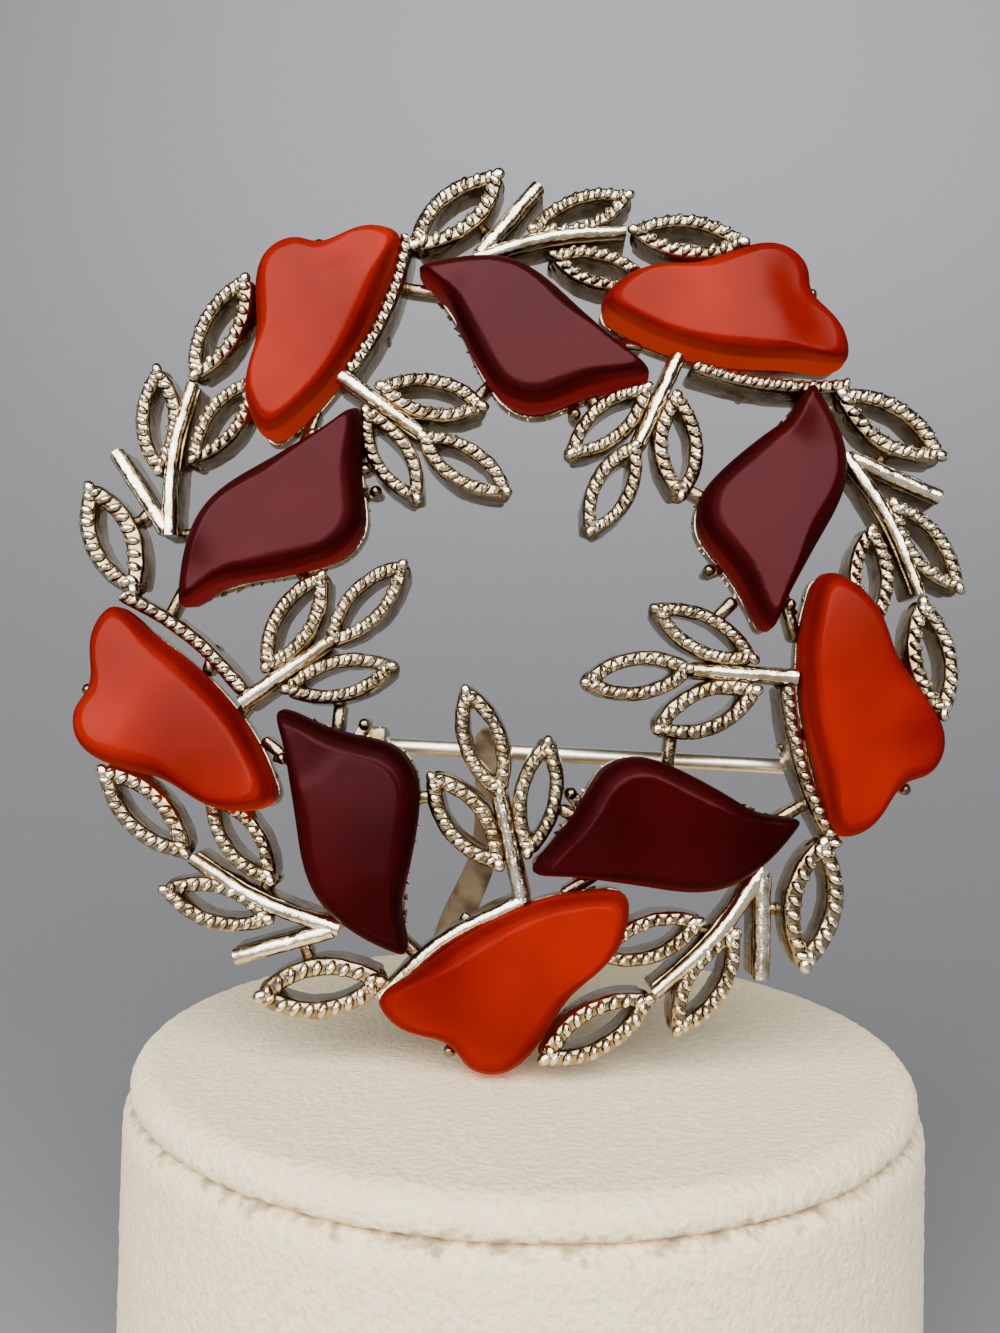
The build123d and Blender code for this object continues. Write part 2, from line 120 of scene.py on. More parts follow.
# Places of the branches on one unit
Leaf = namedtuple("Leaf", "name base_x base_y tip_x tip_y width")
OUTER_LEAVES = [
    Leaf("vine_leaf", -22.3, 80.0, -0.5, 99.5, 12.6),
    Leaf("upper_leaf", 3.9, 83.4, 28.7, 92.0, 10.5),
    Leaf("end_leaf", 25.9, 83.0, 53.3, 78.0, 11.0),
    Leaf("lower_leaf", 8.2, 77.7, 31.3, 69.3, 9.9),
]
INNER_LEAVES = [
    Leaf("near_leaf", -30.4, 47.7, -5.6, 40.4, 11.0),
    Leaf("far_leaf", -33.0, 43.2, -21.3, 19.4, 10.0),
    Leaf("inner_end_leaf", -21.7, 36.1, -0.5, 22.3, 10.3),
]
NOMINAL_LEAF = Leaf("nominal", -13.2, 0.0, 13.2, 0.0, 10.6)

Strip = namedtuple("Strip", "name start_x start_y end_x end_y bow")
OUTER_STEM = Strip("outer_stem", -7.6, 77.2, 25.9, 82.6, 1.9)
CUT_STUB = Strip("cut_stub", -6.6, 78.3, 6.9, 94.5, 0.0)
INNER_STEM = Strip("inner_stem", -37.2, 50.3, -20.6, 35.8, 0.0)
VINE = Strip("vine", -22.6, 84.0, -35.5, 51.0, 2.3)
OUTER_STRUTS = [
    Strip("vine_strut", -34.0, 62.0, -27.0, 62.0, 0.0),
    Strip("tip_strut", -26.0, 74.5, -15.5, 72.5, 0.0),
    Strip("end_leaf_link", -59.5, 71.5, -51.0, 71.5, 0.0),
    Strip("lower_leaf_link", -58.5, 51.5, -51.0, 51.5, 0.0),
    Strip("stub_link", -6.0, 87.5, -1.0, 85.0, 0.0),
    Strip("stem_root", -7.0, 79.5, -3.5, 70.0, 0.0),
    Strip("lower_leaf_root", 10.5, 81.5, 9.5, 76.5, 0.0),
]
INNER_STRUTS = [
    Strip("stone_strut", -43.5, 45.5, -48.0, 34.0, 0.0),
    Strip("stem_strut", -42.0, 53.0, -34.5, 49.5, 0.0),
    Strip("near_leaf_link", -10.5, 43.8, -4.3, 50.0, 0.0),
    Strip("far_leaf_link", -32.0, 31.2, -38.5, 30.2, 0.0),
]

# Stones: their outlines, prongs and dents on one unit
Spot = namedtuple("Spot", "x y")
Prong = namedtuple("Prong", "x y root_x root_y")
ORANGE_PRONGS = [Prong(-45.5, 38.6, -45.5, 41.5), Prong(-42.8, 84.9, -42.8, 79.0)]
WINE_PRONGS = [Prong(12.4, 39.6, 12.0, 46.0)]
ORANGE_OUTLINE = [
    Spot(-57.0, 39.8), Spot(-53.9, 37.0), Spot(-48.2, 40.0), Spot(-40.4, 47.6),
    Spot(-34.7, 55.9), Spot(-30.3, 65.0), Spot(-26.4, 75.2), Spot(-24.3, 83.5),
    Spot(-27.6, 85.4), Spot(-34.5, 85.0), Spot(-42.8, 83.0), Spot(-46.8, 84.2),
    Spot(-50.8, 83.4), Spot(-54.2, 80.5), Spot(-56.4, 74.1), Spot(-56.5, 60.0),
]
WINE_OUTLINE = [
    Spot(-20.4, 74.8), Spot(-13.5, 76.1), Spot(-6.4, 76.0), Spot(1.2, 74.0),
    Spot(7.1, 69.9), Spot(13.4, 63.1), Spot(19.3, 56.5), Spot(26.0, 49.9),
    Spot(28.7, 46.8), Spot(22.4, 44.6), Spot(15.3, 42.9), Spot(10.3, 41.0),
    Spot(5.4, 39.5), Spot(1.2, 39.8), Spot(-3.1, 42.2), Spot(-6.4, 46.6),
    Spot(-9.6, 53.0), Spot(-13.0, 61.7), Spot(-17.6, 70.0),
]
Dent = namedtuple("Dent", "x y reach depth")
Setting = namedtuple("Setting", "kind outline middle prongs tooth_limit dents")
ORANGE_SETTING = Setting(
    "orange", ORANGE_OUTLINE, Spot(-43.4, 67.0), ORANGE_PRONGS, ORANGE_TOOTH_LIMIT,
    [Dent(-42.6, 82.0, 3.2, 0.2), Dent(-26.5, 83.5, 4.5, 0.25)])
WINE_SETTING = Setting(
    "wine", WINE_OUTLINE, Spot(3.0, 58.0), WINE_PRONGS, WINE_TOOTH_LIMIT,
    [Dent(27.0, 47.0, 4.0, 0.3), Dent(-19.0, 75.0, 4.5, 0.45)])
PRESS_CORE = 0.7
STONE_CELL = 0.12
STONE_SMOOTHING = 7

# Each unit's own small turns and shifts, set by hand on the real one
OUTER_MIDDLE = Spot(4.0, 82.0)
INNER_MIDDLE = Spot(-22.0, 38.0)
Seat = namedtuple("Seat", "turn across out")
Unit = namedtuple("Unit", "outer inner orange wine end_leaf_turn")
UNITS = [
    Unit(Seat(0.3, 0.2, 0.3), Seat(2.1, 1.1, 0.4), Seat(2.5, 0.8, 0.1), Seat(0.2, 1.0, 1.6), -6.0),
    Unit(Seat(-2.9, 1.1, 0.6), Seat(-2.6, -1.9, 0.3), Seat(2.5, -1.5, 2.8), Seat(-2.4, -4.2, 2.5), -11.0),
    Unit(Seat(1.3, 0.8, -0.6), Seat(0.4, 0.8, -0.9), Seat(-1.5, 0.3, -1.7), Seat(2.0, 2.5, 0.2), 3.0),
    Unit(Seat(0.5, -1.5, 0.7), Seat(-1.7, 0.0, 0.7), Seat(0.5, 0.6, 1.6), Seat(1.3, -2.0, 0.9), -2.0),
    Unit(Seat(0.7, -0.5, -1.0), Seat(1.9, -0.1, -0.5), Seat(1.1, -1.4, -0.3), Seat(3.2, 0.1, -3.9), 4.0),
]

# Stand
PAD_CELL = 0.3
PAD_GRAIN = 0.5
BASE_CELL = 0.42
BASE_GRAIN = 0.6
FLOCK_RELIEF = 0.2
FLOCK_SMOOTHING = 3
GROOVE_LEVEL = 19.0
GROOVE_REACH = 1.5

# Hinge and catch
HINGE_X = -31.5 * SHARE
HINGE_Y = -29.4 * SHARE
PIN_DEPTH = 5.2
PIN_SLOPE = -4.3
HINGE_RISE = 3.285
HINGE_PLATE_REACH = 0.85
HINGE_PLATE_THICKNESS = 0.8
HINGE_PLATE_EDGE = 0.2
EAR_RADIUS = 0.8
EAR_INSIDE = 0.58
EAR_OUTSIDE = 0.98
EAR_FOOT_SINK = 0.4
EAR_EDGE = 0.08
RIVET_RADIUS = 0.4
RIVET_HEAD_RADIUS = 0.6
RIVET_HEAD_HEIGHT = 0.2
CATCH_DISTANCE = 29.3
CATCH_REACH = 0.9
CATCH_INSIDE = 0.71
CATCH_OUTSIDE = 1.16
CATCH_RISE = 1.962
CATCH_LIP_LEVEL = -1.03
CATCH_LIP_SINK = 0.3
# The fittings get one even level of painted shade
FITTING_SHADE_LEVEL = 0.35

# Camera, set for the photo's own width of 1000 pixels
CAMERA_PLACE = (-1.458, -75.02, 43.841)
CAMERA_TURN = (91.48, -1.122, 0.353)


def add_camera():
    data = bpy.data.cameras.new("photo_camera")
    data.sensor_fit = "HORIZONTAL"
    data.sensor_width = 36.0
    data.lens = 39.6
    data.clip_start = 0.002
    data.clip_end = 10.0
    camera = bpy.data.objects.new("photo_camera", data)
    camera.location = [distance * MM for distance in CAMERA_PLACE]
    camera.rotation_euler = [radians(angle) for angle in CAMERA_TURN]
    bpy.context.collection.objects.link(camera)
    bpy.context.scene.camera = camera


add_camera()


# Helpers for picking, placing, copying and joining pieces
def deselect():
    bpy.ops.object.select_all(action="DESELECT")


def pick(piece):
    """Makes a piece the only selected one, and the active one."""
    deselect()
    piece.select_set(True)
    bpy.context.view_layer.objects.active = piece


def settle(piece, matrix=None):
    """Moves a piece by a matrix and leaves its place in its mesh."""
    pick(piece)
    if matrix is not None:
        piece.matrix_world = matrix @ piece.matrix_world
    bpy.ops.object.transform_apply(location=True, rotation=True, scale=True)
    return piece


def named(piece, name):
    piece.name = name
    piece.data.name = name
    return piece


def copy_of(piece, name):
    """A copy with a mesh of its own."""
    twin = piece.copy()
    twin.data = piece.data.copy()
    bpy.context.collection.objects.link(twin)
    return named(twin, name)


def joined(pieces, name):
    """Makes the first of the pieces hold them all, under a name."""
    deselect()
    for piece in pieces:
        piece.select_set(True)
    bpy.context.view_layer.objects.active = pieces[0]
    bpy.ops.object.join()
    return named(pieces[0], name)


def edit_all(piece):
    pick(piece)
    bpy.ops.object.mode_set(mode="EDIT")
    bpy.ops.mesh.select_all(action="SELECT")


def leave_edit():
    bpy.ops.object.mode_set(mode="OBJECT")


def tidy_shell(piece):
    """Merges doubles and turns every face outwards."""
    edit_all(piece)
    bpy.ops.mesh.remove_doubles(threshold=MERGE_DISTANCE * MM)
    bpy.ops.mesh.normals_make_consistent(inside=False)
    leave_edit()


def finish_with(piece, kind, **settings):
    """Adds a modifier with these settings and applies it."""
    pick(piece)
    modifier = piece.modifiers.new(kind.lower(), kind)
    for key, value in settings.items():
        setattr(modifier, key, value)
    bpy.ops.object.modifier_apply(modifier=modifier.name)


def smooth(piece, angle=40):
    pick(piece)
    bpy.ops.object.shade_smooth_by_angle(angle=radians(angle))


def rounded(piece, width, segments=2):
    """Softens a piece's sharp edges."""
    finish_with(
        piece, "BEVEL", width=width * MM, segments=segments, limit_method="ANGLE",
        angle_limit=radians(EDGE_ANGLE))


def uneven(piece, grain, relief):
    """Gives a piece's surface a slight random relief."""
    pattern = bpy.data.textures.new(piece.name + "_relief", "CLOUDS")
    pattern.noise_scale = grain * MM
    pattern.noise_depth = 2
    finish_with(
        piece, "DISPLACE", texture=pattern, strength=relief * MM, mid_level=0.5,
        texture_coords="LOCAL")
    return piece


def turn(angle, axis="Z"):
    return Matrix.Rotation(radians(angle), 4, axis)


def shift(x, y, z=0.0):
    """A move given in millimetres."""
    return Matrix.Translation(Vector((x, y, z)) * MM)


# Places: from a unit's own frame to the whole part's
lean, roll = radians(LEAN_BACK), radians(ROLL)
face_x = Vector((cos(roll), sin(roll) * sin(lean), sin(roll) * cos(lean)))
face_z = Vector((0, -cos(lean), sin(lean)))
face_y = face_z.cross(face_x)
FACE = shift(SIDE_SHIFT, -FRONT_SHIFT, FACE_HEIGHT) @ Matrix((face_x, face_y, face_z)).transposed().to_4x4()


def unit_place(unit, seat, middle):
    """Where a thing drawn in one unit's frame goes in the whole part's."""
    x, y = middle.x * SHARE, middle.y * SHARE
    ring = turn(-360 / UNIT_COUNT * unit)
    lift = shift(0, 0, LEVEL_RING * tan(radians(DISH_ANGLE)))
    dish = turn(OUTWARD_ANGLE - 90) @ turn(-DISH_ANGLE, "X") @ turn(90 - OUTWARD_ANGLE)
    own = shift(x + seat.across * SHARE, y + seat.out * SHARE) @ turn(seat.turn)
    return FACE @ ring @ lift @ dish @ own @ shift(-x, -y)


# Bars, ropes and leaves
Arc = namedtuple("Arc", "radius centre_y half_angle")


def arc_over(length, bow):
    """The arc over a chord along X, centred on the origin and bulging to +Y."""
    radius = (length**2 / 4 + bow**2) / (2 * bow)
    return Arc(radius, bow - radius, asin(length / 2 / radius))


def spun(piece, arc, angle, steps, copies):
    """Sweeps the piece, or copies of it, round the arc's centre."""
    edit_all(piece)
    bpy.ops.mesh.spin(
        steps=steps, dupli=copies, angle=angle, center=(0, arc.centre_y * MM, 0), axis=(0, 0, 1))
    leave_edit()


def at_arc(arc, angle):
    """The matrix that turns what is at the arc's middle round to an angle along it."""
    centre = shift(0, arc.centre_y)
    return centre @ Matrix.Rotation(angle, 4, "Z") @ centre.inverted()


def bowed_wall(name, arc, width, low, high, steps=16):
    """A wall of even width swept along an arc."""
    bpy.ops.mesh.primitive_plane_add(size=MM, rotation=(0, radians(90), 0))
    wall = named(bpy.context.object, name)
    wall.location = (0, (arc.centre_y + arc.radius) * MM, (low + high) / 2 * MM)
    wall.scale = (high - low, width, 1)
    settle(wall)
    settle(wall, at_arc(arc, arc.half_angle))
    spun(wall, arc, 2 * arc.half_angle, steps, False)
    tidy_shell(wall)
    return wall


def straight_wall(name, length, width, low, high):
    bpy.ops.mesh.primitive_cube_add(size=MM, location=(0, 0, (low + high) / 2 * MM))
    wall = named(bpy.context.object, name)
    wall.scale = (length, width, high - low)
    return settle(wall)


def strands_over(name, arc, level):
    """A row of short slanted strands in low relief along an arc, with painted shade at their sides."""
    count = max(2, round(2 * arc.half_angle * arc.radius / BEAD_PITCH))
    step = 2 * arc.half_angle / count
    bpy.ops.mesh.primitive_uv_sphere_add(segments=12, ring_count=8, radius=MM, rotation=(0, radians(90), 0))
    beads = named(bpy.context.object, name)
    settle(beads)
    # Each point keeps how far it lies from its strand's middle line, for painted shade at the strand's
    # sides
    bead_side_shade = beads.data.attributes.new("bead_side_shade", "FLOAT", "POINT")
    for point in beads.data.vertices:
        bead_side_shade.data[point.index].value = abs(point.co.y / MM)
    beads.scale = (BEAD_LONG, BEAD_SHORT, BEAD_HIGH)
    settle(beads)
    settle(beads, shift(0, arc.centre_y + arc.radius - BEAD_INSET, level) @ turn(BEAD_SLANT))
    settle(beads, at_arc(arc, arc.half_angle - step / 2))
    spun(beads, arc, step * (count - 1), count - 1, True)
    return beads


def roped_band(name, arc, low):
    """A smooth rounded band along an arc with strands on its top."""
    band = bowed_wall(name, arc, BAND_WIDTH, low, BAND_TOP, steps=20)
    rounded(band, BAND_ROUND, segments=4)
    return joined([band, strands_over(name + "_strands", arc, -BEAD_HIGH)], name)


def ball(name, place, sizes):
    """A ball flattened or stretched to half sizes in millimetres."""
    bpy.ops.mesh.primitive_uv_sphere_add(segments=16, ring_count=10, radius=MM)
    dot = named(bpy.context.object, name)
    dot.scale = sizes
    settle(dot)
    return settle(dot, shift(*place))


def leaf_model(leaf):
    """One leaf, its middle at the origin and its tip towards +X: two roped bands round an opening."""
    length = hypot(leaf.tip_x - leaf.base_x, leaf.tip_y - leaf.base_y) * SHARE
    half_width = leaf.width * SHARE / 2
    outer = arc_over(length, half_width)
    radius = outer.radius - BAND_WIDTH / 2
    chord = 2 * sqrt(radius**2 - outer.centre_y**2)
    inner = arc_over(chord, half_width - BAND_WIDTH / 2)
    half = roped_band("leaf_half", inner, -LEAF_HEIGHT)
    other = copy_of(half, "leaf_other_half")
    settle(other, turn(180))
    parts = [half, other]
    for side in (-1, 1):
        point_place = (side * (length / 2 - LEAF_POINT_INSET), 0, LEAF_POINT_LEVEL)
        web_place = (side * (length / 2 - LEAF_WEB_INSET), 0, LEAF_WEB_LEVEL)
        parts.append(ball("leaf_point", point_place, LEAF_POINT_SIZES))
        parts.append(ball("leaf_web", web_place, LEAF_WEB_SIZES))
    return joined(parts, "leaf_model")


def on_line(start_x, start_y, end_x, end_y):
    """The matrix that lays a thing drawn along X between two places of a unit's frame."""
    heading = atan2(end_y - start_y, end_x - start_x)
    middle = shift((start_x + end_x) / 2 * SHARE, (start_y + end_y) / 2 * SHARE)
    return middle @ Matrix.Rotation(heading, 4, "Z")


def strip_length(strip):
    return hypot(strip.end_x - strip.start_x, strip.end_y - strip.start_y) * SHARE


def bar(strip, width, low, high, edge):
    """A strut or wall in its unit's frame."""
    length = strip_length(strip)
    if strip.bow:
        piece = bowed_wall(strip.name, arc_over(length, strip.bow * SHARE), width, low, high)
    else:
        piece = straight_wall(strip.name, length, width, low, high)
    rounded(piece, edge, segments=3)
    return settle(piece, on_line(strip.start_x, strip.start_y, strip.end_x, strip.end_y))


def ridge(strip, level, start_radius, end_radius):
    """A round rod along a strip, thinner towards its end, in its unit's frame."""
    length = strip_length(strip)
    data = bpy.data.curves.new(strip.name + "_ridge", "CURVE")
    data.dimensions = "3D"
    data.bevel_depth = MM
    data.bevel_resolution = 5
    data.use_fill_caps = True
    spline = data.splines.new("BEZIER")
    spline.bezier_points.add(2)
    bow = strip.bow * SHARE
    middle_radius = (start_radius + end_radius) / 2
    stations = [(-0.5, 0, start_radius), (0.0, bow, middle_radius), (0.5, 0, end_radius)]
    for point, (along, rise, radius) in zip(spline.bezier_points, stations):
        point.co = (along * length * MM, rise * MM, 0)
        point.radius = radius
        point.handle_left_type = point.handle_right_type = "AUTO"
    spline.resolution_u = 10
    rod_piece = bpy.data.objects.new(data.name, data)
    bpy.context.collection.objects.link(rod_piece)
    pick(rod_piece)
    bpy.ops.object.convert(target="MESH")
    rod_piece = bpy.context.object
    tidy_shell(rod_piece)
    lay = on_line(strip.start_x, strip.start_y, strip.end_x, strip.end_y)
    return settle(rod_piece, lay @ shift(0, 0, level))


def place_leaf(model, leaf, own_turn=0.0):
    """A copy of the nominal leaf, stretched to this leaf's length and width."""
    piece = copy_of(model, leaf.name)
    length = hypot(leaf.tip_x - leaf.base_x, leaf.tip_y - leaf.base_y)
    nominal = NOMINAL_LEAF.tip_x - NOMINAL_LEAF.base_x
    stretch = Matrix.Diagonal((length / nominal, leaf.width / NOMINAL_LEAF.width, 1, 1))
    root = shift(leaf.base_x * SHARE, leaf.base_y * SHARE)
    lay = on_line(leaf.base_x, leaf.base_y, leaf.tip_x, leaf.tip_y)
    return settle(piece, root @ turn(own_turn) @ root.inverted() @ lay @ stretch)


def post(prong):
    """A small ball-ended post with its root towards the tray."""
    x, y = prong.x * SHARE, prong.y * SHARE
    head = ball("prong_head", (x, y, -PRONG_DROP), (PRONG_RADIUS, PRONG_RADIUS, PRONG_RADIUS))
    bpy.ops.mesh.primitive_cylinder_add(
        vertices=14, radius=PRONG_STALK * MM, depth=(RIM_HEIGHT - PRONG_DROP) * MM)
    stalk = settle(bpy.context.object, shift(x, y, -(RIM_HEIGHT + PRONG_DROP) / 2))
    rounded(stalk, SMALL_EDGE)
    root = Strip("prong_root", prong.x, prong.y, prong.root_x, prong.root_y, 0.0)
    foot = bar(root, 2 * PRONG_RADIUS, -RIM_HEIGHT, -RIM_HEIGHT + TRAY_THICKNESS, PRONG_FOOT_EDGE)
    return joined([head, stalk, foot], "prong")


def teeth(setting):
    """Small uneven teeth round a tray's edge, as far across as the setting's tooth limit."""
    bpy.ops.mesh.primitive_cone_add(
        vertices=5, radius1=TOOTH_RADIUS * MM, radius2=TOOTH_TIP_RADIUS * MM,
        depth=TOOTH_LENGTH * MM, rotation=(0, radians(90), 0))
    tooth = settle(bpy.context.object)
    row = []
    centre = Vector((setting.middle.x, setting.middle.y))
    corners = [Vector((spot.x, spot.y)) for spot in setting.outline]
    for start, end in zip(corners, corners[1:] + corners[:1]):
        if (start.x + end.x) / 2 > setting.tooth_limit:
            continue
        count = max(1, round((end - start).length * SHARE / TOOTH_PITCH))
        for number in range(count):
            place = start.lerp(end, (number + dice.uniform(*TOOTH_PLACES)) / count)
            out = (place - centre).normalized()
            place = (place - out * TOOTH_INSET / SHARE) * SHARE
            heading = Matrix.Rotation(atan2(out.y, out.x), 4, "Z")
            stretch = Matrix.Diagonal((dice.uniform(*TOOTH_LENGTHS), TOOTH_FLATNESS, TOOTH_FLATNESS, 1))
            single = copy_of(tooth, "tooth")
            row.append(settle(single, shift(place.x, place.y, TOOTH_LEVEL) @ heading @ stretch))
    bpy.data.objects.remove(tooth)
    return row


def mark_shade_depth(piece, level=None):
    """Keeps how deep each point lies under the rims' tops, or one level for all, for the painted shade that
    darkens the metal with depth.
    """
    depth = piece.data.attributes.new("recess", "FLOAT", "POINT")
    for point in piece.data.vertices:
        depth.data[point.index].value = -point.co.z / MM / RIM_HEIGHT if level is None else level


def stem(strip, end_share):
    """A rounded ridge on a lower wall; its end is as thick as this share of its start."""
    wall = bar(strip, STEM_WIDTH, -RIM_HEIGHT + STEM_WALL_LIFT, STEM_WALL_TOP, STEM_EDGE)
    rod_piece = ridge(strip, STEM_TOP - STEM_RADIUS, STEM_RADIUS, STEM_RADIUS * end_share)
    return joined([wall, rod_piece], strip.name)


def strut_bar(strut):
    """A low strut on the level of the trays."""
    return bar(strut, STRUT_WIDTH, -RIM_HEIGHT, -RIM_HEIGHT + STRUT_HEIGHT, STRUT_ROUND)


def outer_branch(number, leaf_shape):
    """The leaves round the outside of a unit, with their stem, stub, struts and vine."""
    parts = [place_leaf(leaf_shape, leaf) for leaf in OUTER_LEAVES]
    parts.append(stem(OUTER_STEM, OUTER_STEM_END))
    parts.append(stem(CUT_STUB, STUB_END))
    parts += [strut_bar(strut) for strut in OUTER_STRUTS]
    if number == SMOOTH_VINE_UNIT:
        parts.append(bar(VINE, SMOOTH_VINE_WIDTH, -RIM_HEIGHT, STEM_WALL_TOP, SMALL_EDGE))
        parts.append(ridge(VINE, -STEM_RADIUS, SMOOTH_VINE_RADIUS, SMOOTH_VINE_RADIUS))
    else:
        vine = roped_band("vine", arc_over(strip_length(VINE), VINE.bow * SHARE), -RIM_HEIGHT)
        parts.append(settle(vine, on_line(VINE.start_x, VINE.start_y, VINE.end_x, VINE.end_y)))
    return joined(parts, f"outer_branch_{number + 1}")


def inner_branch(number, end_leaf_turn, leaf_shape):
    """The three leaves towards the wreath's middle, with their stem and struts."""
    parts = []
    for leaf in INNER_LEAVES:
        own_turn = end_leaf_turn if leaf.name == "inner_end_leaf" else 0.0
        parts.append(place_leaf(leaf_shape, leaf, own_turn))
    parts.append(stem(INNER_STEM, INNER_STEM_END))
    parts += [strut_bar(strut) for strut in INNER_STRUTS]
    return joined(parts, f"inner_branch_{number + 1}")


def unit_casting(number, unit, leaf_shape):
    """All the metal branches of one unit, as cast."""
    outer = outer_branch(number, leaf_shape)
    mark_shade_depth(outer)
    settle(outer, unit_place(number, unit.outer, OUTER_MIDDLE))
    inner = inner_branch(number, unit.end_leaf_turn, leaf_shape)
    mark_shade_depth(inner)
    settle(inner, unit_place(number, unit.inner, INNER_MIDDLE))
    branches = joined([outer, inner], f"branches_{number + 1}")
    return uneven(branches, CAST_GRAIN, CAST_RELIEF)


# Fittings on the wreath's back, in the pin's own frame: x along the wire, y along the rivet
PIN_SEAT = FACE @ shift(HINGE_X, HINGE_Y, -PIN_DEPTH) @ turn(PIN_SLOPE)


def block(name, low, high, edge):
    """A block between two corners in millimetres, with softened edges."""
    sizes = [top - bottom for bottom, top in zip(low, high)]
    bpy.ops.mesh.primitive_cube_add(size=MM)
    piece = named(bpy.context.object, name)
    piece.scale = sizes
    settle(piece)
    settle(piece, shift(*[(bottom + top) / 2 for bottom, top in zip(low, high)]))
    rounded(piece, edge)
    return piece


def rod(name, radius, start, end, edge=0.0, vertices=20):
    """A round rod along the rivet's axis."""
    bpy.ops.mesh.primitive_cylinder_add(
        vertices=vertices, radius=radius * MM, depth=(end - start) * MM, rotation=(radians(90), 0, 0))
    piece = named(bpy.context.object, name)
    settle(piece, shift(0, (start + end) / 2))
    if edge:
        rounded(piece, edge)
    return piece


def pin_hinge():
    """Two ears on a plate, and the rivet through them with its two heads."""
    plate_low = (-HINGE_PLATE_REACH, -EAR_OUTSIDE, HINGE_RISE - HINGE_PLATE_THICKNESS)
    plate_high = (HINGE_PLATE_REACH, EAR_OUTSIDE, HINGE_RISE)
    parts = [block("hinge_plate", plate_low, plate_high, HINGE_PLATE_EDGE)]
    for side in (-1, 1):
        inside, outside = sorted((side * EAR_INSIDE, side * EAR_OUTSIDE))
        foot_low = (-EAR_RADIUS, inside, 0)
        foot_high = (EAR_RADIUS, outside, HINGE_RISE - EAR_FOOT_SINK)
        parts.append(block("ear_foot", foot_low, foot_high, EAR_EDGE))
        parts.append(rod("ear_head", EAR_RADIUS, inside, outside, EAR_EDGE, vertices=28))
    head_end = EAR_OUTSIDE + RIVET_HEAD_HEIGHT
    parts.append(rod("rivet", RIVET_RADIUS, -EAR_OUTSIDE, EAR_OUTSIDE))
    parts.append(rod("rivet_head_low", RIVET_HEAD_RADIUS, -head_end, -EAR_OUTSIDE, EAR_EDGE))
    parts.append(rod("rivet_head_high", RIVET_HEAD_RADIUS, EAR_OUTSIDE, head_end, EAR_EDGE))
    return settle(joined(parts, "pin_hinge"), PIN_SEAT)


def pin_catch():
    """A trough that is open to the back, for the wire's far end."""
    near, far = CATCH_DISTANCE - CATCH_REACH, CATCH_DISTANCE + CATCH_REACH
    floor_low, floor_high = (near, -CATCH_OUTSIDE, CATCH_INSIDE), (far, CATCH_OUTSIDE, CATCH_RISE)
    parts = [block("catch_floor", floor_low, floor_high, SMALL_EDGE)]
    for side in (-1, 1):
        inside, outside = sorted((side * CATCH_INSIDE, side * CATCH_OUTSIDE))
        lip_low, lip_high = (near, inside, CATCH_LIP_LEVEL), (far, outside, CATCH_INSIDE + CATCH_LIP_SINK)
        parts.append(block("catch_lip", lip_low, lip_high, SMALL_EDGE))
    return settle(joined(parts, "pin_catch"), PIN_SEAT)


def tray(name, setting, place):
    """The tray under a stone, a filled outline with a rounded edge, and the posts beside it."""
    data = bpy.data.curves.new(name, "CURVE")
    data.dimensions = "2D"
    data.fill_mode = "BOTH"
    data.extrude = (TRAY_THICKNESS / 2 - TRAY_EDGE) * MM
    data.bevel_depth = TRAY_EDGE * MM
    data.bevel_resolution = 1
    data.offset = -TRAY_INSET * MM
    spline = data.splines.new("BEZIER")
    spline.bezier_points.add(len(setting.outline) - 1)
    for point, spot in zip(spline.bezier_points, setting.outline):
        point.co = (spot.x * SHARE * MM, spot.y * SHARE * MM, 0)
        point.handle_left_type = point.handle_right_type = "AUTO"
    spline.use_cyclic_u = True
    spline.resolution_u = 6
    piece = bpy.data.objects.new(name, data)
    bpy.context.collection.objects.link(piece)
    pick(piece)
    bpy.ops.object.convert(target="MESH")
    piece = bpy.context.object
    settle(piece, shift(0, 0, -RIM_HEIGHT + TRAY_THICKNESS / 2))
    tidy_shell(piece)
    posts = [post(prong) for prong in setting.prongs]
    piece = joined([piece] + posts + teeth(setting), name)
    mark_shade_depth(piece)
    return settle(piece, place)


# Stones and stand: soft copies of the solids
def soft_copy(node, name, cell, rounds):
    """A copy of a solid on an even fine mesh, its edges softened."""
    piece = copy_of(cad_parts[node], name)
    piece.parent = None
    piece.matrix_world = Matrix.Identity(4)
    tidy_shell(piece)
    finish_with(piece, "REMESH", mode="VOXEL", voxel_size=cell * MM)
    finish_with(piece, "SMOOTH", factor=0.5, iterations=rounds)
    pick(piece)
    bpy.ops.object.shade_smooth()
    return piece


def pressed(piece, place, dent):
    """Presses a stone's top down softly around one place of its unit's frame."""
    inside = place.inverted()
    middle = Vector((dent.x * SHARE * MM, dent.y * SHARE * MM, 0))
    pick(piece)
    bpy.ops.object.mode_set(mode="EDIT")
    bpy.ops.mesh.select_mode(type="VERT")
    bpy.ops.mesh.select_all(action="DESELECT")
    leave_edit()
    for point in piece.data.vertices:
        own_place = inside @ point.co
        near = (own_place.xy - middle.xy).length < PRESS_CORE * MM
        point.select = near and own_place.z > -PRESS_CORE * MM
    bpy.ops.object.mode_set(mode="EDIT")
    bpy.ops.transform.translate(
        value=place.to_3x3() @ Vector((0, 0, -dent.depth * MM)), use_proportional_edit=True,
        proportional_edit_falloff="SMOOTH", proportional_size=dent.reach * MM)
    leave_edit()


def mark_slope(piece, place):
    """Keeps how far each point's face turns from its unit's front, and how much of that is downwards; these
    drive the stones' roughness, painted shade and painted glow.
    """
    front = place.to_3x3() @ Vector((0, 0, 1))
    slope = piece.data.attributes.new("slope", "FLOAT", "POINT")
    underside_glow = piece.data.attributes.new("underside_glow", "FLOAT", "POINT")
    for point in piece.data.vertices:
        away = 1 - max(0, point.normal.dot(front))
        slope.data[point.index].value = away
        underside_glow.data[point.index].value = away * max(0, -point.normal.z)


